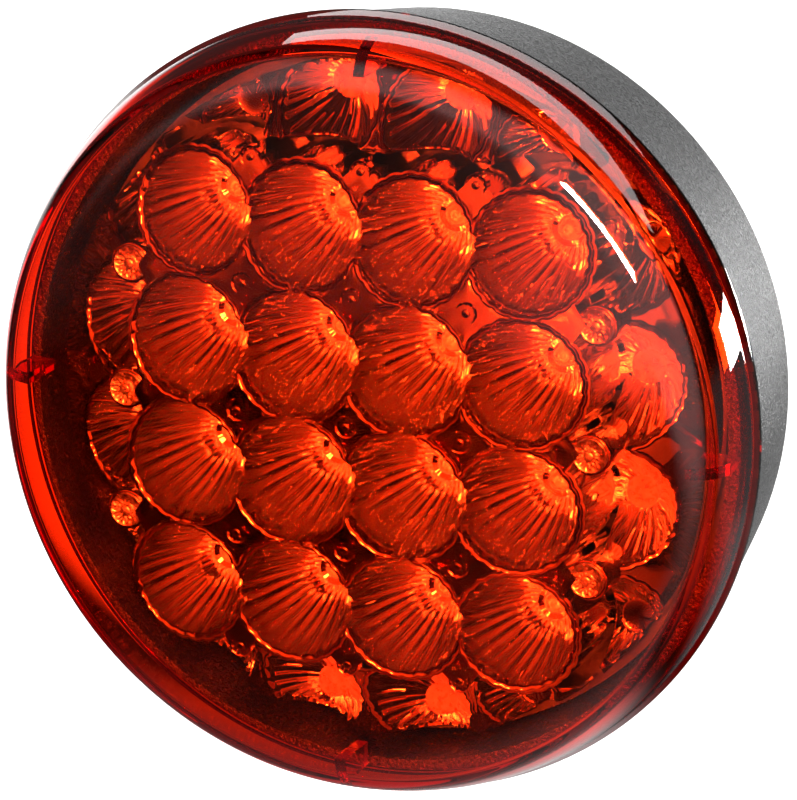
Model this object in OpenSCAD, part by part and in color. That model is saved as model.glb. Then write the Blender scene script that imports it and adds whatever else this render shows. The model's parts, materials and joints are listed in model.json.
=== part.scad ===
// Round LED trailer tail light, flush-mounted on two studs.
// Each sub-part is drawn with the lamp lying on its back: +Z runs out through the lens and
// Z = 0 is the mounting face. upright() then stands the lamp up, so that it faces -Y.

/* [Housing] */
// Outer diameter of the housing at its mounting face
housing_back_d = 111.4; // [110:0.2:113]
// Outer diameter of the housing at its rim
housing_rim_d = 121; // [120.6:0.2:122]
// Height of the housing's rim above the mounting face
housing_depth = 28.5; // [28:0.1:29]
// Thickness of the housing's side wall
housing_wall = 2.6; // [2.2:0.1:2.8]
// Thickness of the housing's back wall
back_wall = 2.5; // [2.2:0.1:3]

/* [Lens] */
// Outer diameter of the lens at its foot
lens_d = 122; // [121.8:0.1:123]
// Height of the lens's crown above the mounting face
lamp_depth = 45; // [44.8:0.1:47]
// Wall thickness of the lens
lens_wall = 2.2; // [1.8:0.1:2.3]
// Radius of the rounded shoulder between the lens's side and face
shoulder_r = 4.6; // [4:0.1:5]
// Thickness of the sealing ring between lens and housing
lens_seal_t = 0.7; // [0.5:0.1:1]
// Thickness of each locating fin inside the lens
fin_t = 1.8; // [1.2:0.1:2.4]

/* [Reflector] */
// Diameter of the reflector
reflector_d = 105.2; // [104.6:0.2:106]
// Wall thickness of the reflector
reflector_wall = 1.3; // [1:0.1:1.5]
// Spacing of the bowls from left to right
pitch_x = 18.07; // [17.9:0.01:18.2]
// Spacing of the bowls from bottom to top
pitch_y = 19.64; // [19.4:0.02:19.8]
// Diameter of a bowl at its rim
bowl_rim_d = 20.1; // [19.6:0.1:20.4]
// Diameter of the hole at the bottom of a bowl
bowl_hole_d = 6; // [5.8:0.1:6.2]

/* [Circuit board] */
// Height of the board's front face above the mounting face
board_top = 19.2; // [19:0.1:19.4]
// Thickness of the board
board_t = 1.6; // [1.2:0.1:1.8]
// Diameter of the board
board_d = 109; // [108.4:0.2:109.4]

/* [LEDs] */
// Side of an LED's square body
led_side = 7.6; // [7:0.1:7.8]
// Height of an LED's square body
led_body_h = 2.4; // [2.2:0.1:2.5]
// Diameter of an LED's dome
led_dome_d = 3.8; // [3.4:0.1:4]

/* [Studs] */
// Thread diameter of the mounting studs
stud_d = 6; // [5:0.5:6]
// Spacing of the two mounting studs
stud_spacing = 45; // [44:0.5:46]
// Length of a stud behind the mounting face
stud_reach = 20; // [15:1:30]

/* [Connector] */
// Width of the connector's socket
socket_w = 25; // [24:0.5:26]
// Height of the connector's socket
socket_h = 13; // [12.6:0.2:14]
// Depth of the connector's socket
socket_depth = 12; // [11:0.5:13]
// Distance of the connector below the lamp's centre
socket_drop = 23.4; // [23.2:0.1:23.6]
// Spacing of the connector's terminals
terminal_pitch = 7; // [6.6:0.1:7.2]

/* [Hidden] */

// Facets of round outlines; large ones are turned shapes
round_fn = 96;
small_fn = 32;
// Overlap that makes cuts run clean through a face
cut = 0.5;

// Housing
housing_edge = 1.2;
lip_height = 3;
lip_t = 1.6;
lip_clearance = 0.4;
rim_seal_r = housing_rim_d / 2 - 0.2;
post_d = 7;
inner_back_r = housing_back_d / 2 - housing_wall;

// Lens
lens_foot = housing_depth + lens_seal_t;
lens_foot_h = 0.8;
lens_side_r = 58.4;
shoulder_z = 38.4;
shoulder_steps = 8;
face_steps = 6;
face_edge_r = lens_side_r - shoulder_r;
face_edge_z = shoulder_z + shoulder_r;
lens_foot_inner_r = lens_d / 2 - lens_wall;
fin_inner_r = 53.2;
fin_low = 31.8;
fin_high = face_edge_z - lens_wall;

// Reflector: a domed block of deep bowls, with a sloping border of shallow ones around it
web_crown = 41.4;
web_sag = 0.0021;
block_half_x = 37;
block_half_y = 40.5;
border_high = 37.2;
border_low = 27.2;
border_inner_r = 34;
led_gap = 0.2;
bowl_foot = board_top + led_body_h + led_gap;
bowl_hole_r = bowl_hole_d / 2;
bowl_bands = 2;
main_rim_z = 40.6;
border_rim_z = 33;
border_bowl_x = 40.5;
border_bowl_y = 48;
skirt_low = bowl_foot;
web_rings = 5;

// Fasteners that hold the reflector to the board and the housing
head_clearance = 0.3;
screw_x = 37.7;
screw_d = 2.9;
screw_thread_d = 2.94;
screw_bore_d = 3.3;
screw_head_d = 5.2;
screw_head_h = 1.7;
screw_column_d = 6.4;
screw_tip = 6;
recess_d = 2;
recess_depth = 0.9;
pin_d = 1.8;
pin_bore_d = 2.2;
pin_head_d = 3.6;
pin_head_h = 1.2;
pin_column_d = 4.4;
pin_edge_y = 38.6;
pin_barb_d = 2.8;
pin_barb_h = 1.4;

// LEDs
frame_t = 0.4;
frame_w = 1.2;
leg_d = 0.6;
leg_hole_d = 0.9;
leg_spacing = 5.08;
leg_tip = board_top - board_t - 1;
die_side = 1;
die_t = 0.3;
die_pocket_d = 2.2;
die_pocket_h = 0.9;
body_bevel = 1.2;
flat_lens_d = 5.6;
flat_lens_h = 0.5;

// Parts on the back of the board
board_back = board_top - board_t;
chip_resistor = [6.3, 3.2, 0.6];
network_size = [10, 4, 1.5];
diode_size = [4.4, 2.6, 2.2];
suppressor_size = [6.9, 5.8, 2.4];
regulator_size = [6.5, 6.1, 2.3];
tab_size = [5.4, 2.2, 0.5];
capacitor_d = 6.3;
capacitor_h = 7.7;
solder_rim = 1;
solder_h = 1;

// Connector
shroud_t = 1.5;
shroud_flange = 3;
shroud_flange_t = 1.6;
shroud_clearance = 0.15;
connector_seal_t = 0.6;
terminal_w = 2.8;
terminal_t = 0.8;
terminal_tip = 5;
terminal_hole_d = 3.2;

// Studs and vent
stud_head_d = 12;
stud_head_h = 2;
washer_t = 0.8;
washer_d = 13;
seal_wire_d = 1.8;
stud_clearance = 0.1;
stud_neck_d = stud_d - 0.65;
vent_y = 25;
vent_hole_d = 3;
vent_seat_d = 9;
vent_membrane_t = 0.3;
vent_cap_t = 0.9;
vent_seat_depth = 1.4;

function web_z(r) = web_crown - web_sag * r * r;
function housing_r(z) = housing_back_d / 2
    + (housing_rim_d - housing_back_d) / 2 * z / housing_depth;
function face_z(r) = lamp_depth
    - (lamp_depth - face_edge_z) * pow(r / face_edge_r, 2);

// Points along the outside of the lens, moved inwards by the amount inset
function lens_line(inset) = concat(
    [[lens_d / 2 - inset, lens_foot],
     [lens_d / 2 - inset, lens_foot + lens_foot_h]],
    [for (i = [0:shoulder_steps])
        let (a = 90 * i / shoulder_steps)
        [face_edge_r + (shoulder_r - inset) * cos(a),
         shoulder_z + (shoulder_r - inset) * sin(a)]],
    [for (i = [1:face_steps])
        let (r = face_edge_r * (1 - i / face_steps)) [r, face_z(r) - inset]]
);

// Inside of a parabolic bowl from its floor to its rim, moved outwards by the amount extra
function bowl_line(floor_z, rim_z, extra) = [for (i = [0:bowl_bands])
    let (t = pow(i / bowl_bands, 2), rim_r = bowl_rim_d / 2)
    [sqrt(pow(bowl_hole_r, 2) + t * (pow(rim_r, 2) - pow(bowl_hole_r, 2))) + extra,
     floor_z + t * (rim_z - floor_z)]];

function backwards(points) = [for (i = [len(points) - 1:-1:0]) points[i]];

// Centres of the bowls with an LED, and of the blank ones towards the corners
main_bowls = [for (j = [-1.5:1.5], i = [-1.5:1.5]) [i * pitch_x, j * pitch_y]];
side_bowls = [for (s = [-1, 1], j = [-0.5, 0.5]) [s * border_bowl_x, j * pitch_y]];
end_bowls = [for (s = [-1, 1], i = [-0.5, 0.5]) [i * pitch_x, s * border_bowl_y]];
blank_bowls = concat(
    [for (s = [-1, 1], j = [-1.5, 1.5]) [s * border_bowl_x, j * pitch_y]],
    [for (s = [-1, 1], i = [-1.5, 1.5]) [i * pitch_x, s * border_bowl_y]]
);
border_bowls = concat(side_bowls, end_bowls, blank_bowls);
flat_led_places = concat(side_bowls, end_bowls);
led_places = concat(main_bowls, flat_led_places);

screw_places = [for (s = [-1, 1], j = [-1, 0, 1]) [s * screw_x, j * pitch_y]];
pin_places = [for (i = [-1, 0, 1], y = [-pin_edge_y, -pitch_y, 0, pitch_y, pin_edge_y])
    [i * pitch_x, y]];
stud_places = [for (s = [-1, 1]) [s * stud_spacing / 2, 0]];
terminal_places = [for (i = [-1, 0, 1]) [i * terminal_pitch, -socket_drop]];

// Stands the lamp up: the lens faces -Y and the mounting face lies at Y = 0
module upright() { rotate([90, 0, 0]) children(); }

// Puts a copy of the children at each place, at height z
module at_places(places, z = 0) {
    for (p = places) translate([p[0], p[1], z]) children();
}

// Box centred on X and Y that stands on Z = 0
module block(size) {
    translate([-size[0] / 2, -size[1] / 2, 0]) cube(size);
}

// ---- Housing ----

module housing() {
    color("#1c1c1e") upright() difference() {
        union() {
            housing_shell();
            at_places(screw_places, back_wall - cut)
                cylinder(d = post_d, h = board_back - back_wall + cut, $fn = small_fn);
        }
        at_places(screw_places, back_wall)
            cylinder(d = screw_thread_d, h = board_back, $fn = small_fn);
        at_places(stud_places, -cut)
            cylinder(d = stud_d + 2 * stud_clearance, h = back_wall + 2 * cut, $fn = small_fn);
        at_places(stud_places, -cut)
            cylinder(d = stud_neck_d + 2 * seal_wire_d, h = seal_wire_d + cut, $fn = small_fn);
        translate([0, -socket_drop, -cut])
            block([socket_w + 2 * shroud_t + 2 * shroud_clearance,
                   socket_h + 2 * shroud_t + 2 * shroud_clearance, back_wall + 2 * cut]);
        translate([0, vent_y, -cut])
            cylinder(d = vent_hole_d, h = back_wall + 2 * cut, $fn = small_fn);
        translate([0, vent_y, -cut])
            cylinder(d = vent_seat_d, h = vent_seat_depth + cut, $fn = small_fn);
    }
}

// Turned cup with a bevelled back edge and a lip that centres the lens
module housing_shell() {
    lip_r = lens_foot_inner_r - lip_clearance - lip_height * (lens_d / 2 - lens_side_r)
        / (shoulder_z - lens_foot);
    rotate_extrude($fn = round_fn) polygon([
        [0, 0],
        [housing_back_d / 2 - housing_edge, 0],
        [housing_r(housing_edge), housing_edge],
        [housing_rim_d / 2, housing_depth],
        [lip_r, housing_depth],
        [lip_r, housing_depth + lip_height],
        [lip_r - lip_t, housing_depth + lip_height],
        [lip_r - lip_t, housing_depth - lip_t],
        [inner_back_r, back_wall],
        [0, back_wall]
    ]);
}

// ---- Lens ----

module lens() {
    color("#c8140c") upright() {
        rotate_extrude($fn = round_fn)
            polygon(concat(lens_line(0), backwards(lens_line(lens_wall))));
        for (a = [0:90:270]) rotate([0, 0, a]) lens_fin();
    }
}

// Radial fin between the lens's side and the reflector's edge
module lens_fin() {
    fin_root = lens_side_r - lens_wall / 3;
    translate([fin_inner_r, -fin_t / 2, fin_low])
        cube([fin_root - fin_inner_r, fin_t, fin_high - fin_low]);
}

module lens_seal() {
    color("#101010") upright() rotate_extrude($fn = round_fn)
        translate([lens_foot_inner_r + 0.1, housing_depth])
        square([rim_seal_r - lens_foot_inner_r - 0.1, lens_seal_t]);
}

// ---- Reflector ----

module reflector() {
    color("#c9ccd0") upright() difference() {
        union() {
            difference() {
                union() {
                    intersection() {
                        union() {
                            reflector_block();
                            at_places(main_bowls) bowl_wall(main_rim_z);
                        }
                        cylinder(d = reflector_d, h = lamp_depth, $fn = round_fn);
                    }
                    reflector_border();
                }
                at_places(main_bowls) bowl_space(bowl_foot - cut, main_rim_z);
            }
            for (p = screw_places) column(p, screw_column_d);
            for (p = pin_places) column(p, pin_column_d);
        }
        for (p = screw_places) fixing_hole(p, screw_bore_d, screw_head_d);
        for (p = pin_places) fixing_hole(p, pin_bore_d, pin_head_d);
    }
}

// Bore down through a column, and a flat seat for the head on the domed web
module fixing_hole(place, bore_d, head_d) {
    translate([place[0], place[1], board_top - cut])
        cylinder(d = bore_d, h = lamp_depth, $fn = small_fn);
    translate([place[0], place[1], web_z(norm(place))])
        cylinder(d = head_d + head_clearance, h = lamp_depth, $fn = small_fn);
}

// Post from the board up to the reflector's web
module column(place, d) {
    translate([place[0], place[1], board_top])
        cylinder(d = d, h = web_z(norm(place)) - board_top, $fn = small_fn);
}

// Domed plate over the deep bowls, with walls down to the border on its sides and corners
module reflector_block() {
    edge_r = reflector_d / 2;
    intersection() {
        rotate_extrude($fn = round_fn) polygon(concat(
            [for (i = [0:web_rings]) let (r = edge_r * i / web_rings) [r, web_z(r)]],
            [[edge_r, skirt_low], [edge_r - reflector_wall, skirt_low]],
            [for (i = [web_rings:-1:0]) let (r = (edge_r - reflector_wall) * i / web_rings)
                [r, web_z(r) - reflector_wall]]
        ));
        block([2 * block_half_x, 2 * block_half_y, lamp_depth]);
    }
    wall_h = web_z(edge_r) - skirt_low;
    for (s = [-1, 1]) {
        translate([s * (block_half_x - reflector_wall / 2), 0, skirt_low])
            block([reflector_wall, 2 * block_half_y, wall_h]);
        translate([0, s * (block_half_y - reflector_wall / 2), skirt_low])
            block([2 * block_half_x, reflector_wall, wall_h]);
    }
}

// Sloping ring around the block, with its wide bowls and the skirt at its edge
module reflector_border() {
    difference() {
        intersection() {
            union() {
                border_slope(reflector_wall);
                at_places(border_bowls) bowl_wall(border_rim_z);
            }
            border_slope(border_high - skirt_low);
        }
        at_places(border_bowls) bowl_space(bowl_foot + reflector_wall, border_rim_z);
        at_places(flat_led_places, bowl_foot - cut)
            cylinder(r = bowl_hole_r, h = reflector_wall + 2 * cut, $fn = small_fn);
        block([2 * (block_half_x - reflector_wall), 2 * (block_half_y - reflector_wall),
               lamp_depth]);
    }
}

// The slope as a ring of the given depth below its surface, down to the skirt's foot
module border_slope(depth) {
    edge_r = reflector_d / 2;
    rotate_extrude($fn = round_fn) polygon([
        [border_inner_r, border_high],
        [edge_r, border_low],
        [edge_r, skirt_low],
        [edge_r - reflector_wall, skirt_low],
        [edge_r - reflector_wall, max(skirt_low, border_low - depth)],
        [border_inner_r, border_high - depth]
    ]);
}

// Outside of a bowl, from the reflector's foot to the bowl's rim
module bowl_wall(rim_z) {
    rotate_extrude($fn = small_fn) polygon(concat(
        [[0, bowl_foot]], bowl_line(bowl_foot, rim_z, reflector_wall), [[0, rim_z]]
    ));
}

// Space inside a bowl, from its floor to above its rim
module bowl_space(floor_z, rim_z) {
    rotate_extrude($fn = small_fn) polygon(concat(
        [[0, floor_z]], bowl_line(floor_z, rim_z, 0),
        [[bowl_rim_d / 2, lamp_depth], [0, lamp_depth]]
    ));
}

// ---- Fasteners ----

module reflector_screws() {
    color("#b8babd") upright() for (p = screw_places)
        translate([p[0], p[1], web_z(norm(p))]) pan_screw(web_z(norm(p)) - screw_tip);
}

// Pan-head screw of the given length below its head, with a hexagon recess
module pan_screw(length) {
    difference() {
        union() {
            cylinder(d1 = screw_head_d, d2 = screw_head_d * 0.72, h = screw_head_h,
                     $fn = small_fn);
            translate([0, 0, -length]) cylinder(d = screw_d, h = length, $fn = small_fn);
        }
        translate([0, 0, screw_head_h - recess_depth])
            cylinder(d = recess_d, h = recess_depth + cut, $fn = 6);
    }
}

module reflector_pins() {
    color("#b8babd") upright() for (p = pin_places)
        translate([p[0], p[1], 0]) snap_pin(web_z(norm(p)));
}

// Pin with a low head on the web and a barb behind the board
module snap_pin(head_z) {
    translate([0, 0, head_z])
        cylinder(d1 = pin_head_d, d2 = pin_head_d * 0.5, h = pin_head_h, $fn = small_fn);
    translate([0, 0, board_back - pin_barb_h / 2])
        cylinder(d = pin_d, h = head_z - board_back + pin_barb_h / 2, $fn = small_fn);
    translate([0, 0, board_back - pin_barb_h])
        cylinder(d1 = pin_d * 0.7, d2 = pin_barb_d, h = pin_barb_h, $fn = small_fn);
}

// ---- Circuit board ----

module circuit_board() {
    color("#2c5a34") upright() difference() {
        translate([0, 0, board_back]) cylinder(d = board_d, h = board_t, $fn = round_fn);
        at_places(screw_places, board_back - cut)
            cylinder(d = screw_bore_d, h = board_t + 2 * cut, $fn = small_fn);
        at_places(pin_places, board_back - cut)
            cylinder(d = pin_bore_d, h = board_t + 2 * cut, $fn = small_fn);
        at_places(led_places, board_back - cut) for (sx = [-1, 1], sy = [-1, 1])
            translate([sx * leg_spacing / 2, sy * leg_spacing / 2, 0])
            cylinder(d = leg_hole_d, h = board_t + 2 * cut, $fn = small_fn);
        at_places(terminal_places, board_back - cut)
            cylinder(d = terminal_hole_d, h = board_t + 2 * cut, $fn = small_fn);
    }
}

// ---- LEDs ----

module led_packages() {
    color("#e8b0a0") upright() {
        at_places(main_bowls, board_top + frame_t) led_package() led_dome();
        at_places(flat_led_places, board_top + frame_t) led_package()
            cylinder(d = flat_lens_d, h = flat_lens_h, $fn = small_fn);
    }
}

// Square body with one bevelled corner and a pocket for the die, with its lens on top
module led_package() {
    half = led_side / 2;
    difference() {
        union() {
            linear_extrude(led_body_h - frame_t) polygon([
                [-half, -half], [half, -half], [half, half - body_bevel],
                [half - body_bevel, half], [-half, half]
            ]);
            translate([0, 0, led_body_h - frame_t]) children();
        }
        translate([0, 0, -cut])
            cylinder(d = die_pocket_d, h = die_pocket_h + cut, $fn = small_fn);
    }
}

// Half-round dome of an LED
module led_dome() {
    r = led_dome_d / 2;
    rotate_extrude($fn = small_fn) intersection() {
        circle(r = r, $fn = small_fn);
        square([r, r]);
    }
}

module led_anode_frames() {
    color("#c0c0c0") upright() at_places(led_places) led_frame(1);
}

module led_cathode_frames() {
    color("#c0c0c0") upright() at_places(led_places) led_frame(-1);
}

// Lead-frame bar along one side of an LED, with its two legs through the board
module led_frame(side) {
    x = side * leg_spacing / 2;
    translate([x, 0, board_top]) block([frame_w, leg_spacing + frame_w, frame_t]);
    for (s = [-1, 1]) translate([x, s * leg_spacing / 2, leg_tip])
        cylinder(d = leg_d, h = board_top - leg_tip + frame_t / 2, $fn = small_fn);
    if (side < 0) translate([x / 2, 0, board_top])
        block([abs(x) + frame_w, frame_w, frame_t]);
}

module led_dies() {
    color("#b03030") upright() at_places(led_places, board_top + frame_t)
        translate([-0.1, 0, 0]) block([die_side, die_side, die_t]);
}

// ---- Parts on the back of the board ----

// Puts the children against the back of the board, upside down
module behind_board(x, y) {
    translate([x, y, board_back]) mirror([0, 0, 1]) children();
}

module resistors() {
    color("#202020") upright() for (s = [-1, 1], y = [-2.3, 2.3, 17.4, 21.6])
        behind_board(s * 9, y) block(chip_resistor);
}

module resistor_network() {
    color("#303034") upright() behind_board(0, 30) block(network_size);
}

module diodes() {
    color("#18181a") upright() for (s = [-1, 1])
        behind_board(s * 9.04, -15) block(diode_size);
}

module surge_suppressor() {
    color("#18181a") upright() behind_board(18.5, -31) block(suppressor_size);
}

module capacitors() {
    color("#9a9ea6") upright() for (s = [-1, 1])
        behind_board(s * 28, 0)
        cylinder(d = capacitor_d, h = capacitor_h, $fn = small_fn);
}

module current_regulator() {
    color("#18181a") upright() behind_board(-19, -31) block(regulator_size);
}

module regulator_tab() {
    color("#c8c8c8") upright()
        behind_board(-19, -31 + regulator_size[1] / 2 + tab_size[1] / 2) block(tab_size);
}

// Solder cones around the terminals, behind the board
module solder_joints() {
    color("#b4b6ba") upright() at_places(terminal_places) difference() {
        translate([0, 0, board_back - solder_h]) cylinder(
            d1 = terminal_hole_d, d2 = terminal_hole_d + solder_rim, h = solder_h,
            $fn = small_fn);
        translate([0, 0, board_back - solder_h - cut])
            block([terminal_w, terminal_t, solder_h + 2 * cut]);
    }
}

// ---- Connector ----

module connector_shroud() {
    outer = [socket_w + 2 * shroud_t, socket_h + 2 * shroud_t];
    floor_z = socket_depth + shroud_t;
    color("#262628") upright() translate([0, -socket_drop, 0]) difference() {
        union() {
            block([outer[0], outer[1], floor_z]);
            translate([0, 0, back_wall + connector_seal_t])
                block([outer[0] + 2 * shroud_flange, outer[1] + shroud_flange,
                       shroud_flange_t]);
        }
        translate([0, 0, -cut]) block([socket_w, socket_h, socket_depth + cut]);
        for (i = [-1, 0, 1]) translate([i * terminal_pitch, 0, socket_depth - cut])
            block([terminal_w, terminal_t, shroud_t + 2 * cut]);
    }
}

module connector_seal() {
    outer = [socket_w + 2 * shroud_t, socket_h + 2 * shroud_t];
    color("#8a2f1c") upright() translate([0, -socket_drop, back_wall]) difference() {
        block([outer[0] + 2 * shroud_flange, outer[1] + shroud_flange, connector_seal_t]);
        translate([0, 0, -cut]) block([outer[0], outer[1], connector_seal_t + 2 * cut]);
    }
}

module terminal_pins() {
    color("#d0b060") upright() at_places(terminal_places, terminal_tip)
        block([terminal_w, terminal_t, board_top + 1 - terminal_tip]);
}

// ---- Mounting and vent ----

// Studs threaded up to the mounting face, with a thinner neck through the wall
module mounting_studs() {
    color("#b0b4ba") upright() at_places(stud_places) {
        translate([0, 0, -stud_reach]) cylinder(d = stud_d, h = stud_reach, $fn = small_fn);
        cylinder(d = stud_neck_d, h = back_wall + washer_t, $fn = small_fn);
        translate([0, 0, back_wall + washer_t])
            cylinder(d = stud_head_d, h = stud_head_h, $fn = 6);
    }
}

module stud_washers() {
    color("#a0a4aa") upright() at_places(stud_places, back_wall) difference() {
        cylinder(d = washer_d, h = washer_t, $fn = small_fn);
        translate([0, 0, -cut])
            cylinder(d = stud_d + 0.02, h = washer_t + 2 * cut, $fn = small_fn);
    }
}

// Sealing rings in the counterbores around the studs' necks
module stud_seals() {
    color("#141414") upright() at_places(stud_places) rotate_extrude($fn = small_fn)
        translate([stud_neck_d / 2 + seal_wire_d / 2, seal_wire_d / 2])
        circle(d = seal_wire_d, $fn = small_fn);
}

module vent_membrane() {
    color("#f0f0f0") upright() translate([0, vent_y, vent_seat_depth - vent_membrane_t])
        cylinder(d = vent_seat_d - 0.4, h = vent_membrane_t, $fn = small_fn);
}

// Slotted cap over the membrane
module vent_cap() {
    cap_top = vent_seat_depth - vent_membrane_t;
    color("#2a2a2c") upright() translate([0, vent_y, cap_top - vent_cap_t]) difference() {
        cylinder(d = vent_seat_d - 0.2, h = vent_cap_t, $fn = small_fn);
        for (a = [0:120:240]) rotate([0, 0, a]) translate([2.4, 0, -cut])
            block([2.4, 0.8, vent_cap_t + 2 * cut]);
    }
}

housing();
lens();
lens_seal();
reflector();
reflector_screws();
reflector_pins();
circuit_board();
led_packages();
led_anode_frames();
led_cathode_frames();
led_dies();
resistors();
resistor_network();
diodes();
surge_suppressor();
capacitors();
current_regulator();
regulator_tab();
solder_joints();
connector_shroud();
connector_seal();
terminal_pins();
mounting_studs();
stud_washers();
stud_seals();
vent_membrane();
vent_cap();
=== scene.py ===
import json
import math

import bmesh
import bpy
import numpy as np
from mathutils import Matrix, Vector

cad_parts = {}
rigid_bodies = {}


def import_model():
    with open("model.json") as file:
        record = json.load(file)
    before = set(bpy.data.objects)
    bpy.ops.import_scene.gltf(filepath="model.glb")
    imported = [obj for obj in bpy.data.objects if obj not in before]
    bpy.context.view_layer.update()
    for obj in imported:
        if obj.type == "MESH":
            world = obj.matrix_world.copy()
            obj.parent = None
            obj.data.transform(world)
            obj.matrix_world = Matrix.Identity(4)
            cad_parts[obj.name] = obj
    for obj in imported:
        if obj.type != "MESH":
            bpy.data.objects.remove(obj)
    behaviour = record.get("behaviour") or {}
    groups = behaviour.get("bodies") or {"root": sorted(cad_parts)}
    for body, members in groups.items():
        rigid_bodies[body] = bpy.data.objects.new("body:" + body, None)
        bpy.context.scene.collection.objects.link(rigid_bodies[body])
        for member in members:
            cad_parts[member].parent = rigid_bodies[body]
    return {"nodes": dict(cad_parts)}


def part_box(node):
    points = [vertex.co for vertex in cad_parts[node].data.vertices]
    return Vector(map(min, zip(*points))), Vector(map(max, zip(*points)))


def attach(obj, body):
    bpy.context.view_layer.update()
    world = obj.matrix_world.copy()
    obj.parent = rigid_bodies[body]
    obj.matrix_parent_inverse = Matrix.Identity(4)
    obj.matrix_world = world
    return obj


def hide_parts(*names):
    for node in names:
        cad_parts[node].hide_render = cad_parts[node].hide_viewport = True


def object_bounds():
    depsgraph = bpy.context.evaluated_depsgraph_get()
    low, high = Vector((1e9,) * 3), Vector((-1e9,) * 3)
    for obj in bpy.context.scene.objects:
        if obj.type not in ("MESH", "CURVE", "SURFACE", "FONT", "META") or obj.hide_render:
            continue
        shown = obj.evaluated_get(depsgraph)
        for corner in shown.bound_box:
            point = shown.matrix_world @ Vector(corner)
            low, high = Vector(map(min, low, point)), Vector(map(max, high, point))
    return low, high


for leftover in list(bpy.data.objects):
    bpy.data.objects.remove(leftover)

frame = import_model()
cad_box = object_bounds()
nodes = frame["nodes"]

# All shapes are written in the lamp's own frame, in millimetres: x right, y up and z out through
# the lens, with z = 0 on the mounting face. to_row() turns that into the row frame in metres.
MM = 0.001


def cad_reach(node, axis, side):
    """One face of a CAD node's box in the lamp's frame. axis is x, y or z, and side is low or high."""
    low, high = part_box(node)
    if axis == "z":
        return -(high.y if side == "low" else low.y) / MM
    corner = low if side == "low" else high
    return (corner.x if axis == "x" else corner.z) / MM


# ---- Driving dimensions, in millimetres, and angles in radians (creases in degrees) ----

LENS_R = cad_reach("lens", "x", "high")
LENS_FOOT = cad_reach("lens", "z", "low")
LENS_TOP = cad_reach("lens", "z", "high")
LENS_WALL = 2.2
LENS_FOOT_H = 0.8
LENS_SEGMENTS = 256
LENS_DENSITY = 1200.0
FACE_EDGE_R = LENS_R - 10.1
FACE_SAG_R = 53.8
FACE_SAG = 2.0
FACE_POINTS = 16
# The shoulder's bends from the face to the side: radius, tilt at the end and number of points.
LENS_BENDS = (
    (14.0, math.radians(28), 16),
    (3.6, math.radians(66), 14),
    (28.0, math.radians(85), 12),
)
FIN = {"inner": 53.2, "outer": 57.3, "low": 31.8, "high": 40.9, "thick": 1.8}
FINS = 4
LENS_CREASE = 40

REFLECTOR_R = cad_reach("reflector", "x", "high")
PITCH_X = 18.07
PITCH_Y = 19.64
BLOCK_X = 37.0
BLOCK_Y = 40.5
WEB_TOP = cad_reach("reflector", "z", "high")
WEB_SAG = 0.0021
BORDER_INNER_R = 34.0
BORDER_TOP = 37.2
BORDER_FALL = 10 / 18.6
BOWL_FOOT = 21.8
BOWL_HOLE_R = 3.0
# A main bowl's foot narrows to this share of its hole round the LED, this far below the bowl.
LED_HOLE_SHARE = 0.68
LEDGE_DROP = 0.24
SLEEVE_H = 0.6
BOWL_ROWS = 11
BOWL_STEEP = 4.89
BORDER_BOWL_STEEP = 8.2
BORDER_BOWL_X = 40.5
BORDER_BOWL_Y = 48.0
BLANK_BOWL_X = 24.6
BLANK_BOWL_Y = 43.6
BLANK_BOWL_STEEP = BORDER_BOWL_STEEP / 2
# A blank bowl's floor: how far it is below the bowl in the middle and at its edge, and its width.
BLANK_DROP = 0.3
BLANK_EDGE_DROP = 0.2
BLANK_SHARE = 0.8
FLUTES = 24
RAYS_PER_FLUTE = 4
# The search for a bowl's rim goes out this far, in this many halvings.
FARTHEST_RIM = 25.0
HALVINGS = 40
FLUTE_STEP = 2 * math.pi / FLUTES
FLUTE_DEPTH = 0.034
# The flutes lose this share of their depth between FLUTE_FADE_R and RIM_R.
FLUTE_FADE = 0.35
FLUTE_FADE_R = 7.0
RIM_R = 9.8
SHEET_T = 0.5
WALL_ROWS = 4
RIM_LAND = 0.55
BEAD_W = 0.36
BEAD_H = 0.13
BEAD_PARTS = (0.25, 0.5, 0.75)
REFLECTOR_CREASE = 32
REFLECTOR_MERGE = 0.01

SCREW_X = 37.7
SCREW_HEAD_R = 2.6
SCREW_SHANK_R = 1.45
SCREW_FLUTES = 12
SCREW_TIP = cad_reach("reflector_screws", "z", "low")
COLUMN_R = 3.2
COLUMN_EDGE = 0.3
COLUMN_LIP = 0.2
COLUMN_SEGMENTS = 40
PIN_HEAD_R = 1.8
PIN_SHANK_R = 0.9
PIN_FLUTES = 10
PIN_EDGE_Y = 38.6
PIN_TIP = cad_reach("reflector_pins", "z", "low")
# Heights of a fixing's parts above the web, then the sizes of its head, shank and flutes.
HEAD_RIM_H = 0.55
HEAD_PIN_H = 0.35
HEAD_DISH_H = 0.15
HEAD_EDGE_H = -1.05
HEAD_FOOT_H = -1.2
HEAD_PIN_SHARE = 0.40
HEAD_PIN_ROUND = 0.45
HEAD_EDGE = 0.15
HEAD_RIM_W = 0.12
HEAD_DISH_IN = 0.3
HEAD_DISH_GAP = 0.18
HEAD_DISH_EDGE = 0.04
HEAD_DISH_BEND = 0.8
HEAD_FLUTE_DEPTH = 0.16
SHANK_TAPER = 0.8
SHANK_TIP_SHARE = 0.6
POINTS_PER_FLUTE = 6
FIXING_CREASE = 34

STUD_X = 22.5
STUD_R = 3.0
STUD_NECK_R = 2.675
STUD_HEAD_R = 6.0
STUD_HEAD_H = 2.0
STUD_HEAD_ROUND = 0.3
STUD_HEAD_CHAMFER = 0.4
STUD_CHAMFER = 1.0
STUD_CREASE = 50
STUD_SEGMENTS = 48
STUD_TIP = cad_reach("mounting_studs", "z", "low")
STUD_TOP = cad_reach("mounting_studs", "z", "high")
THREAD_PITCH = 1.0
THREAD_DEPTH = 0.55
THREAD_STEPS = 8
THREAD_END = -0.02


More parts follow.
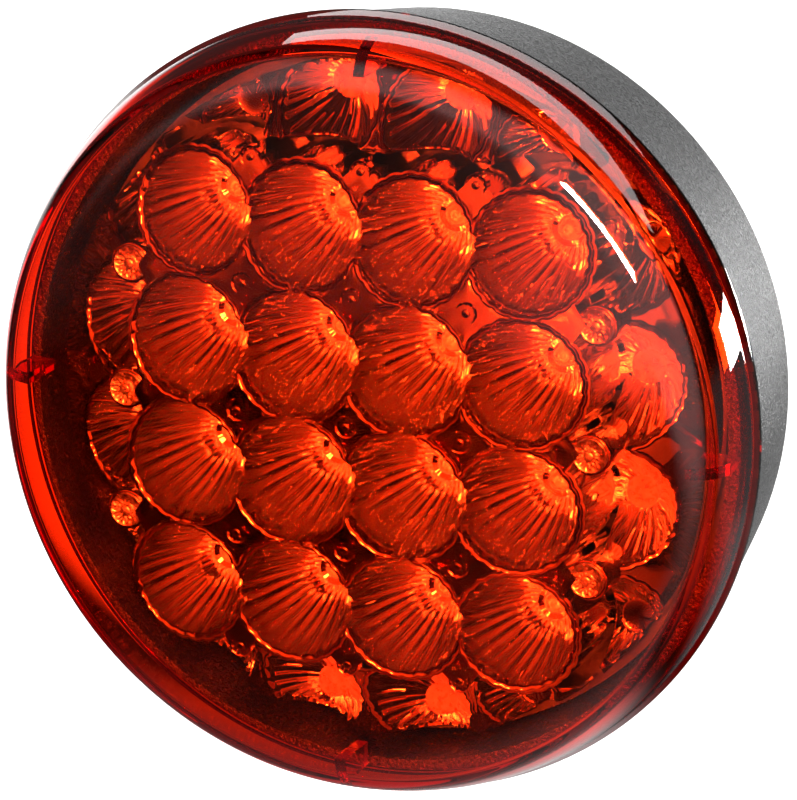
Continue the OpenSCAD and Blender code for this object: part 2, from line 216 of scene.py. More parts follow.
# ---- Mesh helpers ----

def to_row(points):
    """Points of the lamp's own frame, in millimetres, as points of the row frame in metres."""
    p = np.asarray(points, float)
    return np.stack([p[..., 0], -p[..., 2], p[..., 1]], axis=-1) * MM


class Shape:
    """Collects vertices and faces, in the lamp's frame, for one object."""

    def __init__(self):
        self.points = []
        self.faces = []
        self.count = 0

    def grid(self, points, closed):
        """Adds a grid of points[row][column]. A closed grid joins its last column to its first."""
        rows, columns = points.shape[:2]
        index = np.arange(rows * columns).reshape(rows, columns) + self.count
        left, right = index, np.roll(index, -1, axis=1)
        if not closed:
            left, right = index[:, :-1], index[:, 1:]
        quads = np.stack([left[:-1], right[:-1], right[1:], left[1:]], axis=-1).reshape(-1, 4)
        self.points.append(points.reshape(-1, 3))
        self.faces.extend(quads.tolist())
        self.count += rows * columns

    def build(self, name, crease, merge=0.004):
        """Makes the object, smooth but for edges whose faces meet at more than crease degrees."""
        mesh = bpy.data.meshes.new(name)
        mesh.from_pydata(to_row(np.concatenate(self.points)).tolist(), [], self.faces)
        tidy = bmesh.new()
        tidy.from_mesh(mesh)
        bmesh.ops.remove_doubles(tidy, verts=tidy.verts, dist=merge * MM)
        bmesh.ops.dissolve_degenerate(tidy, edges=tidy.edges, dist=merge * MM)
        loose = [v for v in tidy.verts if not v.link_faces]
        bmesh.ops.delete(tidy, geom=loose, context="VERTS")
        for face in tidy.faces:
            face.smooth = True
        mark_sharp(tidy, crease)
        tidy.to_mesh(mesh)
        tidy.free()
        piece = bpy.data.objects.new(name, mesh)
        bpy.context.scene.collection.objects.link(piece)
        return piece


def mark_sharp(mesh, crease):
    for edge in mesh.edges:
        if len(edge.link_faces) == 2 and edge.calc_face_angle(0) > math.radians(crease):
            edge.smooth = False


def revolve(profile, segments, centre=(0, 0)):
    """The points of a lathe turned round z, as rows of the profile's (r, z)."""
    turn = np.linspace(0, 2 * math.pi, segments, endpoint=False)
    r = np.array([p[0] for p in profile])[:, None]
    z = np.array([p[1] for p in profile])[:, None]
    return np.stack([
        centre[0] + r * np.cos(turn),
        centre[1] + r * np.sin(turn),
        z + 0 * turn,
    ], axis=-1)


def arc(centre, radius, start, end, steps):
    """Points on an arc in the (r, z) plane, with its angles in radians."""
    return [(centre[0] + radius * math.cos(a), centre[1] + radius * math.sin(a))
            for a in np.linspace(start, end, steps)]


def apply_modifiers(piece):
    """Replaces a piece's mesh with what its modifiers make of it."""
    bpy.context.view_layer.update()
    shown = piece.evaluated_get(bpy.context.evaluated_depsgraph_get())
    piece.data = bpy.data.meshes.new_from_object(shown)
    piece.modifiers.clear()


def finish_piece(piece, slot, replaced):
    """Gives a piece its slot and material, and puts it on the body in place of a CAD node."""
    piece.data.materials.clear()
    piece.data.materials.append(finishes[slot])
    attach(piece, "root")
    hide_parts(replaced)


# ---- Material helpers ----

# Most of a noise texture's values are between these.
NOISE_LOW = 0.3
NOISE_HIGH = 0.7


class Paint:
    """A procedural material, built up from a Principled shader and noise in object space."""

    def __init__(self, name, **inputs):
        self.material = bpy.data.materials.new(name)
        self.material.use_nodes = True
        self.tree = self.material.node_tree
        self.shader = self.tree.nodes["Principled BSDF"]
        self.output = self.tree.nodes["Material Output"]
        self.place = self.tree.nodes.new("ShaderNodeTexCoord").outputs["Object"]
        for socket, value in inputs.items():
            self.shader.inputs[socket.replace("_", " ")].default_value = value

    def node(self, kind, **inputs):
        made = self.tree.nodes.new(kind)
        for socket, value in inputs.items():
            made.inputs[socket.replace("_", " ")].default_value = value
        return made

    def link(self, start, end):
        self.tree.links.new(start, end)

    def noise(self, grain, detail=2.0, roughness=0.5):
        """Noise whose blobs are about grain millimetres across."""
        scale = 1 / (grain * MM)
        made = self.node("ShaderNodeTexNoise", Scale=scale, Detail=detail, Roughness=roughness)
        self.link(self.place, made.inputs["Vector"])
        return made.outputs["Fac"]

    def spread(self, value, low, high, start=NOISE_LOW, end=NOISE_HIGH):
        """A number from low to high as value goes from start to end."""
        made = self.node("ShaderNodeMapRange", From_Min=start, From_Max=end, To_Min=low, To_Max=high)
        self.link(value, made.inputs["Value"])
        return made.outputs["Result"]

    def colours(self, value, low, high, start=NOISE_LOW, end=NOISE_HIGH):
        """A colour from low to high as value goes from start to end."""
        made = self.node("ShaderNodeValToRGB")
        ramp = made.color_ramp
        ramp.elements[0].position = start
        ramp.elements[0].color = (*low, 1)
        ramp.elements[1].position = end
        ramp.elements[1].color = (*high, 1)
        self.link(value, made.inputs["Fac"])
        return made.outputs["Color"]

    def colour(self, value, low, high, start=NOISE_LOW, end=NOISE_HIGH):
        self.link(self.colours(value, low, high, start, end), self.shader.inputs["Base Color"])

    def roughness(self, value, low, high):
        self.link(self.spread(value, low, high), self.shader.inputs["Roughness"])

    def bump(self, value, depth, strength=1.0):
        """Relief about depth millimetres deep."""
        made = self.node("ShaderNodeBump", Strength=strength, Distance=depth * MM)
        self.link(value, made.inputs["Height"])
        if self.shader.inputs["Normal"].links:
            self.link(self.shader.inputs["Normal"].links[0].from_socket, made.inputs["Normal"])
        self.link(made.outputs["Normal"], self.shader.inputs["Normal"])


def grey(value):
    return (value, value, value)


# ---- Materials ----

def housing_paint():
    """Moulded black plastic with a spark-eroded surface."""
    paint = Paint("housing_plastic_finish", Specular_IOR_Level=0.36)
    paint.colour(paint.noise(0.38, 3, 0.7), grey(0.002), (0.018, 0.018, 0.019), 0.42, 0.66)
    paint.roughness(paint.noise(0.5, 3), 0.20, 0.34)
    paint.bump(paint.noise(0.55, 3, 0.6), 0.26, 1.0)
    return paint.material


def lens_paint():
    """Red plastic, deeper where more of it is looked through. Shadow rays pass straight through."""
    paint = Paint("red_lens_finish", IOR=1.49, Transmission_Weight=1.0, Roughness=0.0)
    tint = paint.colours(paint.noise(26, 1), (0.985, 0.80, 0.70), (0.995, 0.86, 0.78))
    paint.link(tint, paint.shader.inputs["Base Color"])
    paint.roughness(paint.noise(14, 2), 0.0, 0.010)
    passing = paint.node("ShaderNodeBsdfTransparent")
    passing.inputs["Color"].default_value = (0.99, 0.91, 0.86, 1)
    ray = paint.node("ShaderNodeLightPath")
    mix = paint.node("ShaderNodeMixShader")
    paint.link(ray.outputs["Is Shadow Ray"], mix.inputs["Fac"])
    paint.link(paint.shader.outputs["BSDF"], mix.inputs[1])
    paint.link(passing.outputs["BSDF"], mix.inputs[2])
    paint.link(mix.outputs["Shader"], paint.output.inputs["Surface"])
    body = paint.node("ShaderNodeVolumeAbsorption")
    body.inputs["Color"].default_value = (0.988, 0.43, 0.0, 1)
    body.inputs["Density"].default_value = LENS_DENSITY
    paint.link(body.outputs["Volume"], paint.output.inputs["Volume"])
    return paint.material


def chrome_paint():
    """Vacuum-metallised plastic: bright, with a faint moulded ripple."""
    paint = Paint("metallised_finish", Metallic=1.0)
    paint.colour(paint.noise(5, 3), (0.80, 0.81, 0.83), (0.90, 0.90, 0.91))
    paint.roughness(paint.noise(2.2, 3), 0.03, 0.08)
    paint.bump(paint.noise(1.4, 2), 0.010, 0.5)
    return paint.material


def led_paint():
    """Dark tinted cast epoxy, with a bright surface that mirrors the key light into its bowl."""
    paint = Paint("led_epoxy_finish", Coat_Weight=1.0, Coat_Roughness=0.03, Coat_IOR=3.2, IOR=1.52)
    paint.colour(paint.noise(1.6, 2), (0.17, 0.10, 0.09), (0.28, 0.18, 0.16))
    paint.roughness(paint.noise(0.8, 2), 0.22, 0.38)
    paint.bump(paint.noise(0.5, 2), 0.008, 0.4)
    return paint.material


def rubber_paint(name, low, high):
    paint = Paint(name, Specular_IOR_Level=0.35)
    paint.colour(paint.noise(3, 3), low, high)
    paint.roughness(paint.noise(0.8, 3), 0.62, 0.82)
    paint.bump(paint.noise(0.3, 3), 0.03, 0.5)
    return paint.material


def metal_paint(name, low, high, smooth, rough, grain=0.9):
    paint = Paint(name, Metallic=1.0)
    paint.colour(paint.noise(2.5, 4), low, high)
    paint.roughness(paint.noise(grain, 4), smooth, rough)
    paint.bump(paint.noise(grain / 3, 3), 0.012, 0.5)
    return paint.material


def plastic_paint(name, low, high, smooth, rough, grain=0.35):
    paint = Paint(name, Specular_IOR_Level=0.5)
    paint.colour(paint.noise(4, 3), low, high)
    paint.roughness(paint.noise(1.2, 3), smooth, rough)
    paint.bump(paint.noise(grain, 2), 0.02, 0.5)
    return paint.material


def board_paint():
    """Near-black solder mask over glass cloth."""
    paint = Paint("board_laminate_finish", Coat_Weight=0.4, Coat_Roughness=0.2)
    paint.colour(paint.noise(1.8, 4), (0.006, 0.012, 0.008), (0.014, 0.024, 0.017))
    paint.roughness(paint.noise(1.0, 3), 0.28, 0.48)
    weave = paint.node("ShaderNodeTexWave", Scale=1 / (1.6 * MM), Distortion=1.5)
    paint.link(paint.place, weave.inputs["Vector"])
    paint.bump(weave.outputs["Fac"], 0.015, 0.4)
    return paint.material


def cloth_paint():
    """Fine woven membrane cloth."""
    paint = Paint("vent_cloth_finish", Sheen_Weight=0.3)
    paint.colour(paint.noise(0.8, 3), (0.70, 0.70, 0.68), (0.86, 0.86, 0.84))
    paint.roughness(paint.noise(0.5, 2), 0.75, 0.92)
    for direction in ("X", "Z"):
        thread = paint.node("ShaderNodeTexWave", Scale=1 / (0.9 * MM))
        thread.bands_direction = direction
        paint.link(paint.place, thread.inputs["Vector"])
        paint.bump(thread.outputs["Fac"], 0.03, 0.6)
    return paint.material


finishes = {
    "housing_plastic": housing_paint(),
    "red_lens": lens_paint(),
    "black_rubber": rubber_paint("black_rubber_finish", grey(0.008), grey(0.018)),
    "metallised_plastic": chrome_paint(),
    "zinc_plated_steel": metal_paint("zinc_finish", (0.66, 0.67, 0.69), (0.84, 0.85, 0.87), 0.14, 0.30),
    "board_laminate": board_paint(),
    "led_epoxy": led_paint(),
    "tinned_steel": metal_paint("tinned_finish", grey(0.60), grey(0.76), 0.2, 0.36, 0.5),
    "led_die": plastic_paint("led_die_finish", (0.45, 0.07, 0.05), (0.62, 0.13, 0.08), 0.2, 0.35, 0.2),
    "component_body": plastic_paint("component_finish", grey(0.014), grey(0.026), 0.5, 0.7, 0.2),
    "capacitor_can": metal_paint("capacitor_finish", grey(0.62), (0.78, 0.78, 0.80), 0.25, 0.4, 0.6),
    "solder": metal_paint("solder_finish", (0.52, 0.52, 0.54), (0.70, 0.70, 0.72), 0.18, 0.4, 0.6),
    "connector_plastic": plastic_paint("connector_finish", grey(0.018), grey(0.030), 0.36, 0.52),
    "silicone_rubber": rubber_paint("silicone_finish", (0.36, 0.06, 0.035), (0.50, 0.10, 0.06)),
    "terminal_brass": metal_paint("brass_finish", (0.68, 0.48, 0.20), (0.82, 0.62, 0.30), 0.2, 0.36, 0.6),
    "vent_cloth": cloth_paint(),
}

for node in nodes.values():
    for place in node.material_slots:
        place.material = finishes[place.material.name]


# ---- Lens ----

def lens_profile(inset):
    """The lens's section from its foot to its middle, moved in by inset."""
    r = FACE_EDGE_R
    z = LENS_TOP - FACE_SAG * (r / FACE_SAG_R) ** 2
    tilt = math.atan(2 * FACE_SAG * r / FACE_SAG_R ** 2)
    r, z = r - inset * math.sin(tilt), z - inset * math.cos(tilt)
    top = LENS_TOP - inset
    line = [(part * r, top - (top - z) * part ** 2) for part in np.linspace(0, 1, FACE_POINTS)]
    for radius, end, points in LENS_BENDS:
        radius -= inset
        last_r, last_z = line[-1]
        centre = (last_r - radius * math.sin(tilt), last_z - radius * math.cos(tilt))
        line += arc(centre, radius, math.pi / 2 - tilt, math.pi / 2 - end, points)[1:]
        tilt = end
    foot_r = LENS_R - inset
    line += [(foot_r, LENS_FOOT + LENS_FOOT_H), (foot_r, LENS_FOOT)]
    return line[::-1]


def make_lens():
    shape = Shape()
    outside = lens_profile(0)
    inside = lens_profile(LENS_WALL)
    loop = inside[::-1] + outside
    shape.grid(revolve(loop + loop[:1], LENS_SEGMENTS)[::-1], True)
    lens = shape.build("lens_moulding", LENS_CREASE)
    make_normals_outward(lens)
    for number in range(FINS):
        add_fin(lens, number * 2 * math.pi / FINS)
    finish_piece(lens, "red_lens", "lens")


def make_normals_outward(piece):
    mesh = bmesh.new()
    mesh.from_mesh(piece.data)
    bmesh.ops.recalc_face_normals(mesh, faces=mesh.faces)
    mesh.to_mesh(piece.data)
    mesh.free()


def fin_mesh(turn):
    """One radial fin, which is turned round the lens's axis by turn radians."""
    mesh = bmesh.new()
    bmesh.ops.create_cube(mesh, size=1)
    length = FIN["outer"] - FIN["inner"]
    height = FIN["high"] - FIN["low"]
    for vert in mesh.verts:
        r = FIN["inner"] + length * (vert.co.x + 0.5)
        side = FIN["thick"] * vert.co.y
        z = FIN["low"] + height * (vert.co.z + 0.5)
        x = r * math.cos(turn) - side * math.sin(turn)
        y = r * math.sin(turn) + side * math.cos(turn)
        vert.co = Vector(to_row([x, y, z]))
    bmesh.ops.recalc_face_normals(mesh, faces=mesh.faces)
    data = bpy.data.meshes.new("fin")
    mesh.to_mesh(data)
    mesh.free()
    return data


def add_fin(lens, turn):
    """Joins one fin to the inside of the lens."""
    fin = bpy.data.objects.new("fin", fin_mesh(turn))
    bpy.context.scene.collection.objects.link(fin)
    joint = lens.modifiers.new("join", "BOOLEAN")
    joint.operation = "UNION"
    joint.solver = "EXACT"
    joint.object = fin
    apply_modifiers(lens)
    bpy.data.objects.remove(fin)


# ---- Reflector ----

def web_height(x, y):
    """Height of the domed plate over the main bowls."""
    return WEB_TOP - WEB_SAG * (x * x + y * y)


def border_height(x, y):
    """Height of the border, which slopes down to the reflector's edge."""
    return BORDER_TOP - (np.hypot(x, y) - BORDER_INNER_R) * BORDER_FALL


def region_corners(centre, bounds):
    """The angles, seen from centre, of the corners of a rectangle cut by the reflector's edge."""
    x0, x1, y0, y1 = bounds
    found = [(x, y) for x in (x0, x1) for y in (y0, y1) if math.hypot(x, y) <= REFLECTOR_R]
    for x in (x0, x1):
        for side in (-1, 1):
            y = side * math.sqrt(max(REFLECTOR_R ** 2 - x * x, 0))
            if y0 < y < y1:
                found.append((x, y))
    for y in (y0, y1):
        for side in (-1, 1):
            x = side * math.sqrt(max(REFLECTOR_R ** 2 - y * y, 0))
            if x0 < x < x1:
                found.append((x, y))
    return [math.atan2(y - centre[1], x - centre[0]) % (2 * math.pi) for x, y in found]


def ray_angles(centre, bounds):
    """Evenly spaced angles, with the nearest ones moved onto the cell's corners."""
    count = FLUTES * RAYS_PER_FLUTE
    step = 2 * math.pi / count
    angles = np.arange(count) * step
    for corner in region_corners(centre, bounds):
        nearest = int(round(corner / step)) % count
        angles[nearest] = corner if nearest or corner < math.pi else corner - 2 * math.pi
    return angles


def side_distance(centre, bounds, across, up):
    """How far each ray goes from centre to the cell's side or the reflector's edge."""
    x0, x1, y0, y1 = bounds
    with np.errstate(divide="ignore", invalid="ignore"):
        to_x = np.where(across > 0, x1 - centre[0], x0 - centre[0]) / across
        to_y = np.where(up > 0, y1 - centre[1], y0 - centre[1]) / up
    to_x = np.where(np.abs(across) < 1e-9, np.inf, to_x)
    to_y = np.where(np.abs(up) < 1e-9, np.inf, to_y)
    along = centre[0] * across + centre[1] * up
    to_edge = -along + np.sqrt(along ** 2 + REFLECTOR_R ** 2 - centre[0] ** 2 - centre[1] ** 2)
    return np.minimum(np.minimum(to_x, to_y), to_edge)


def flute_wave(angles):
    """0 in the middle of each flute and 1 on the cusp between two."""
    part = (angles / FLUTE_STEP) % 1
    return (2 * part - 1) ** 2


def on_free_side(centre, across, up, side, half_x, half_y):
    """Which rays end on the outside of the block, or on the reflector's edge."""
    x, y = centre[0] + side * across, centre[1] + side * up
    found = np.hypot(x, y) > REFLECTOR_R - 1e-4
    return found | (np.abs(x) > half_x - 1e-4) | (np.abs(y) > half_y - 1e-4)


class Cell:
    """One fluted bowl and the plate round it, as rays from the bowl's centre to the cell's sides.

    height gives the plate's height at x and y. A main bowl's free sides are trimmed close to its rim.
    """

    def __init__(self, centre, bounds, height, steep, main):
        self.centre = centre
        self.height = height
        self.steep = steep
        angles = ray_angles(centre, bounds)
        self.across, self.up = np.cos(angles), np.sin(angles)
        self.wave = flute_wave(angles)
        self.side = side_distance(centre, bounds, self.across, self.up)
        self.rim = np.minimum(self.crossing(), self.side)
        half_x, half_y = (BLOCK_X, BLOCK_Y) if main else (REFLECTOR_R, REFLECTOR_R)
        self.free = on_free_side(centre, self.across, self.up, self.side, half_x, half_y)
        if main:
            trimmed = np.minimum(self.side, self.rim + RIM_LAND)
            self.side = np.where(self.free, trimmed, self.side)
        self.hole = np.minimum(BOWL_HOLE_R * (1 - FLUTE_DEPTH * self.wave), self.side * 0.98)
        self.rows = []

    def bowl_z(self, s):
        """The bowl's height at distances s from its centre."""
        fade = np.clip((s - FLUTE_FADE_R) / (RIM_R - FLUTE_FADE_R), 0, 1) ** 2
        shrink = 1 - FLUTE_DEPTH * self.wave * (1 - FLUTE_FADE * fade)
        return BOWL_FOOT + ((s / shrink) ** 2 - BOWL_HOLE_R ** 2) / self.steep

    def plate_z(self, s):
        """The plate's height at distances s from the bowl's centre."""
        return self.height(self.centre[0] + s * self.across, self.centre[1] + s * self.up)

    def crossing(self):
        """How far out the bowl meets the plate, found by halving."""
        low, high = np.full_like(self.side, BOWL_HOLE_R), np.full_like(self.side, FARTHEST_RIM)
        for _ in range(HALVINGS):
            middle = (low + high) / 2
            over = self.bowl_z(middle) > self.plate_z(middle)
            low, high = np.where(over, low, middle), np.where(over, middle, high)
        return low

    def add_row(self, s, z):
        x = self.centre[0] + s * self.across
        y = self.centre[1] + s * self.up
        self.rows.append(np.stack([x, y, z + 0 * s], axis=-1))

    def add_foot(self, lit, main):
        """A ledge or a sleeve round the LED, or a blank floor."""
        if main:
            self.add_row(self.hole * LED_HOLE_SHARE, BOWL_FOOT - SLEEVE_H)
            self.add_row(self.hole * LED_HOLE_SHARE, BOWL_FOOT - LEDGE_DROP)
        elif lit:
            self.add_row(self.hole, BOWL_FOOT - SLEEVE_H)
        else:
            self.add_row(self.hole * 0, BOWL_FOOT - BLANK_DROP)
            self.add_row(self.hole * BLANK_SHARE, BOWL_FOOT - BLANK_EDGE_DROP)

    def add_bowl(self):
        for part in np.linspace(0, 1, BOWL_ROWS):
            s = self.hole + (self.rim - self.hole) * part
            self.add_row(s, self.bowl_z(s))

    def add_plate(self):
        """A raised bead along the rim, and the flat beyond it."""
        land = np.minimum(self.side - self.rim, BEAD_W)
        for part in BEAD_PARTS:
            s = self.rim + land * part
            bead = BEAD_H * math.sin(math.pi * part) * land / BEAD_W
            self.add_row(s, np.where(land > 1e-3, self.plate_z(s) + bead, self.bowl_z(self.rim)))
        for s in (self.rim + land, self.side):
            beyond = self.side - self.rim > 1e-6
            self.add_row(s, np.where(beyond, self.plate_z(s), self.bowl_z(self.rim)))


def add_cell(shape, centre, bounds, height, steep, lit, main):
    cell = Cell(centre, bounds, height, steep, main)
    cell.add_foot(lit, main)
    cell.add_bowl()
    cell.add_plate()
    shape.grid(np.array(cell.rows), True)
    hang_walls(shape, cell.rows[-1], cell.free, main)


def hang_walls(shape, rim, free, main):
    """Walls down from the free part of a cell's boundary."""
    beside = np.roll(free, -1)
    hangs = free | beside if main else free & beside
    levels = np.linspace(0, 1, WALL_ROWS)[:, None]
    for start, end, hung in zip(rim, np.roll(rim, -1, axis=0), hangs):
        if not hung:
            continue
        first = start + levels * np.array([0, 0, BOWL_FOOT - start[2]])
        second = end + levels * np.array([0, 0, BOWL_FOOT - end[2]])
        shape.grid(np.stack([first, second], axis=1), False)


def cell_edges(pitch, block):
    return [-block, -pitch, 0, pitch, block]


def add_main_cells(shape):
    xs, ys = cell_edges(PITCH_X, BLOCK_X), cell_edges(PITCH_Y, BLOCK_Y)
    for i in range(4):
        for j in range(4):
            centre = ((i - 1.5) * PITCH_X, (j - 1.5) * PITCH_Y)
            bounds = (xs[i], xs[i + 1], ys[j], ys[j + 1])
            add_cell(shape, centre, bounds, web_height, BOWL_STEEP, True, True)


def span(side, near, far):
    """A range between two distances on one side of the middle, lowest first."""
    return tuple(sorted((side * near, side * far)))


def add_side_strip(shape, side):
    """The border's cells to the left or right of the block."""
    strip = span(side, BLOCK_X, REFLECTOR_R)
    for up in (-1, 1):
        for number, (near, far) in enumerate([(0, PITCH_Y), (PITCH_Y, BLOCK_Y)]):
            centre = (side * BORDER_BOWL_X, up * (number + 0.5) * PITCH_Y)
            bounds = (*strip, *span(up, near, far))
            add_cell(shape, centre, bounds, border_height, BORDER_BOWL_STEEP, number == 0, False)


def add_end_strip(shape, side):
    """The border's cells below or above the block."""
    strip = span(side, BLOCK_Y, REFLECTOR_R)
    for up in (-1, 1):
        centre = (up * PITCH_X / 2, side * BORDER_BOWL_Y)
        bounds = (*span(up, 0, PITCH_X), *strip)
        add_cell(shape, centre, bounds, border_height, BORDER_BOWL_STEEP, True, False)
        centre = (up * BLANK_BOWL_X, side * BLANK_BOWL_Y)
        bounds = (*span(up, PITCH_X, BLOCK_X), *strip)
        add_cell(shape, centre, bounds, border_height, BLANK_BOWL_STEEP, False, False)


def add_border_cells(shape):
    for side in (-1, 1):
        add_side_strip(shape, side)
        add_end_strip(shape, side)


def screw_places():
    return [(x, y) for x in (-SCREW_X, SCREW_X) for y in (-PITCH_Y, 0, PITCH_Y)]


def pin_places():
    heights = (-PIN_EDGE_Y, -PITCH_Y, 0, PITCH_Y, PIN_EDGE_Y)
    return [(x, y) for x in (-PITCH_X, 0, PITCH_X) for y in heights]


def add_column(shape, place, radius, hole):
    """The hollow boss that a fixing goes into."""
    top = web_height(*place)
    line = [(radius, BOWL_FOOT), (radius, top - COLUMN_EDGE)]
    line += arc((radius - COLUMN_EDGE, top - COLUMN_EDGE), COLUMN_EDGE, 0, math.pi / 2, 4)
    line += [(hole, top)]
    shape.grid(revolve(line, COLUMN_SEGMENTS, place), True)


def make_reflector():
    shape = Shape()
    add_main_cells(shape)
    add_border_cells(shape)
    for place in screw_places():
        add_column(shape, place, COLUMN_R, SCREW_HEAD_R - COLUMN_LIP)
    reflector = shape.build("reflector_shell", REFLECTOR_CREASE, REFLECTOR_MERGE)
    wall = reflector.modifiers.new("wall", "SOLIDIFY")
    wall.thickness = SHEET_T * MM
    wall.offset = -1
    apply_modifiers(reflector)
    finish_piece(reflector, "metallised_plastic", "reflector")


def fixing_profile(head_r, shank_r, tip, top):
    """The (r, z, flute depth) of a fixing from its tip up to the middle of its head."""
    pin_r = head_r * HEAD_PIN_SHARE
    dish_z, rim_z, pin_z = top + HEAD_DISH_H, top + HEAD_RIM_H, top + HEAD_PIN_H
    foot_z, edge_z = top + HEAD_FOOT_H, top + HEAD_EDGE_H
    line = [(0, tip, 0), (shank_r * SHANK_TIP_SHARE, tip, 0), (shank_r, tip + SHANK_TAPER, 0)]
    line += [(shank_r, foot_z, 0), (head_r - HEAD_EDGE, foot_z, 0), (head_r, edge_z, 0)]
    line += [(head_r, rim_z - HEAD_EDGE, 0), (head_r - HEAD_RIM_W, rim_z, 0)]
    dish_r = head_r - HEAD_DISH_IN
    for part in np.linspace(0, 1, 5):
        r = dish_r - (dish_r - pin_r - HEAD_DISH_GAP) * part
        z = rim_z - HEAD_DISH_EDGE - (rim_z - dish_z) * part ** HEAD_DISH_BEND
        depth = HEAD_FLUTE_DEPTH * math.sin(math.pi * part) * head_r / SCREW_HEAD_R
        line.append((r, z, depth))
    line += [(pin_r, dish_z, 0), (pin_r, pin_z, 0)]
    rounding = HEAD_PIN_ROUND * pin_r
    crown = arc((pin_r - rounding, pin_z), rounding, 0.2, math.pi / 2, 4)
    line += [(r, z, 0) for r, z in crown]
    return line + [(0, pin_z + 0.5 * pin_r, 0)]


def add_fixing(shape, place, head_r, shank_r, tip, flutes):
    """A rounded pin in the middle of a fluted, dished head, with a plain shank below."""
    line = fixing_profile(head_r, shank_r, tip, web_height(*place))
    count = flutes * POINTS_PER_FLUTE
    points = revolve([(r, z) for r, z, _ in line], count, place)
    wave = scallops(count, flutes)
    for row, (_, _, depth) in zip(points, line):
        row[:, 2] += depth * wave
    shape.grid(points, True)


def scallops(count, flutes):
    """A scalloped wave from -1 to 1 round a ring of count points."""
    part = (np.arange(count) * flutes / count) % 1
    return 1 - 2 * (2 * part - 1) ** 2


def make_screws():
    shape = Shape()
    for place in screw_places():
        add_fixing(shape, place, SCREW_HEAD_R, SCREW_SHANK_R, SCREW_TIP, SCREW_FLUTES)
    screws = shape.build("reflector_fixing_screws", FIXING_CREASE)
    finish_piece(screws, "zinc_plated_steel", "reflector_screws")


def make_pins():
    shape = Shape()
    for place in pin_places():
        add_fixing(shape, place, PIN_HEAD_R, PIN_SHANK_R, PIN_TIP, PIN_FLUTES)
    pins = shape.build("reflector_locating_pins", FIXING_CREASE)
    finish_piece(pins, "metallised_plastic", "reflector_pins")


# ---- Mounting studs ----

def thread_rows(turn):
    """The threaded part's (r, z), from its tip to the mounting face, at angles given in turns."""
    rows = []
    steps = int(round(-STUD_TIP / THREAD_PITCH * THREAD_STEPS))
    for step in range(1, steps + 1):
        z = STUD_TIP + step * THREAD_PITCH / THREAD_STEPS
        wave = np.abs(((z / THREAD_PITCH - turn) % 1) * 2 - 1)
        groove = np.clip(wave * 1.3 - 0.15, 0, 1)
        r = STUD_R - THREAD_DEPTH * groove
        chamfered = STUD_R - STUD_CHAMFER + (z - STUD_TIP)
        rows.append((np.minimum(r, chamfered), min(z, THREAD_END)))
    return rows


def add_stud(shape, x):
    turn = np.arange(STUD_SEGMENTS) / STUD_SEGMENTS
    tip = [(0.0, STUD_TIP), (STUD_R - STUD_CHAMFER, STUD_TIP)]
    head_foot = STUD_TOP - STUD_HEAD_H
    neck = [(STUD_NECK_R, 0.0), (STUD_NECK_R, head_foot)]
    head = [(STUD_HEAD_R - STUD_HEAD_ROUND, head_foot), (STUD_HEAD_R, head_foot + STUD_HEAD_ROUND)]
    head += [(STUD_HEAD_R, STUD_TOP - STUD_HEAD_CHAMFER)]
    head += [(STUD_HEAD_R - STUD_HEAD_CHAMFER, STUD_TOP), (0, STUD_TOP)]
    across, up = np.cos(turn * 2 * math.pi), np.sin(turn * 2 * math.pi)
    points = [np.stack([x + r * across, r * up, z + 0 * turn], axis=-1)
              for r, z in tip + thread_rows(turn) + neck + head]
    shape.grid(np.array(points), True)


def make_studs():
    shape = Shape()
    for x in (-STUD_X, STUD_X):
        add_stud(shape, x)
    studs = shape.build("threaded_studs", STUD_CREASE)
    finish_piece(studs, "zinc_plated_steel", "mounting_studs")


make_lens()
make_reflector()
make_screws()
make_pins()
make_studs()


# ---- Floor, light and camera ----

FLOOR_Z = cad_box[0].z - 0.0005
FLOOR_SIZE = 60
BACK_LIGHT = 1.7
FRONT_LIGHT = 1.25
FRONT_DARK = 0.08
BACKDROP_WHITE = 1.05
# The studio's glow, as fades over a direction from the lamp: axis, start, end, and share at each.
BEHIND_FADES = (
    ("Y", 0.0, 0.25, 0.0, BACK_LIGHT),
    ("X", 0.0, 0.30, 1.0, 0.15),
    ("Z", -0.02, 0.10, 1.0, 0.03),
)
BELOW_FADES = (
    ("Y", 0.10, 0.30, 0.0, BACK_LIGHT),
    ("Z", -0.45, -0.25, 1.0, 0.0),
    ("X", -0.10, 0.20, 1.0, 0.25),
)
FRONT_FADES = (
    ("X", 0.50, 0.72, 1.0, 0.05),
    ("X", -0.68, -0.48, 0.05, 1.0),
    ("Z", 0.42, 0.60, 1.0, 0.05),
    ("Y", -0.3, 0.0, 1.0, 0.05),
)
# The front is dark toward this azimuth and elevation, which the lens's face would mirror as haze.
DARK_CORNER = (-24, -14)
DARK_CORNER_FADE = (0.93, 0.985)
# So is the floor round this place, in metres.
DARK_PATCH = (-0.06, -0.18, FLOOR_Z)
DARK_PATCH_FADE = (0.12, 0.22)
DARK_PATCH_SHARE = 0.02
CAMERA = {"lens": 238.3, "azimuth": 21.87, "elevation": 16.64, "roll": 1.63, "distance": 0.8}
CAMERA_TARGET = Vector((0.0040, -0.0317, 0.0019))


def ramp_between(tree, value, start, end, low, high):
    """A number that goes smoothly from low to high as value goes from start to end."""
    made = tree.nodes.new("ShaderNodeMapRange")
    made.interpolation_type = "SMOOTHSTEP"
    for socket, number in (("From Min", start), ("From Max", end), ("To Min", low), ("To Max", high)):
        made.inputs[socket].default_value = number
    tree.links.new(value, made.inputs["Value"])
    return made.outputs["Result"]


def combine(tree, operation, first, second):
    made = tree.nodes.new("ShaderNodeMath")
    made.operation = operation
    tree.links.new(first, made.inputs[0])
    tree.links.new(second, made.inputs[1])
    return made.outputs["Value"]


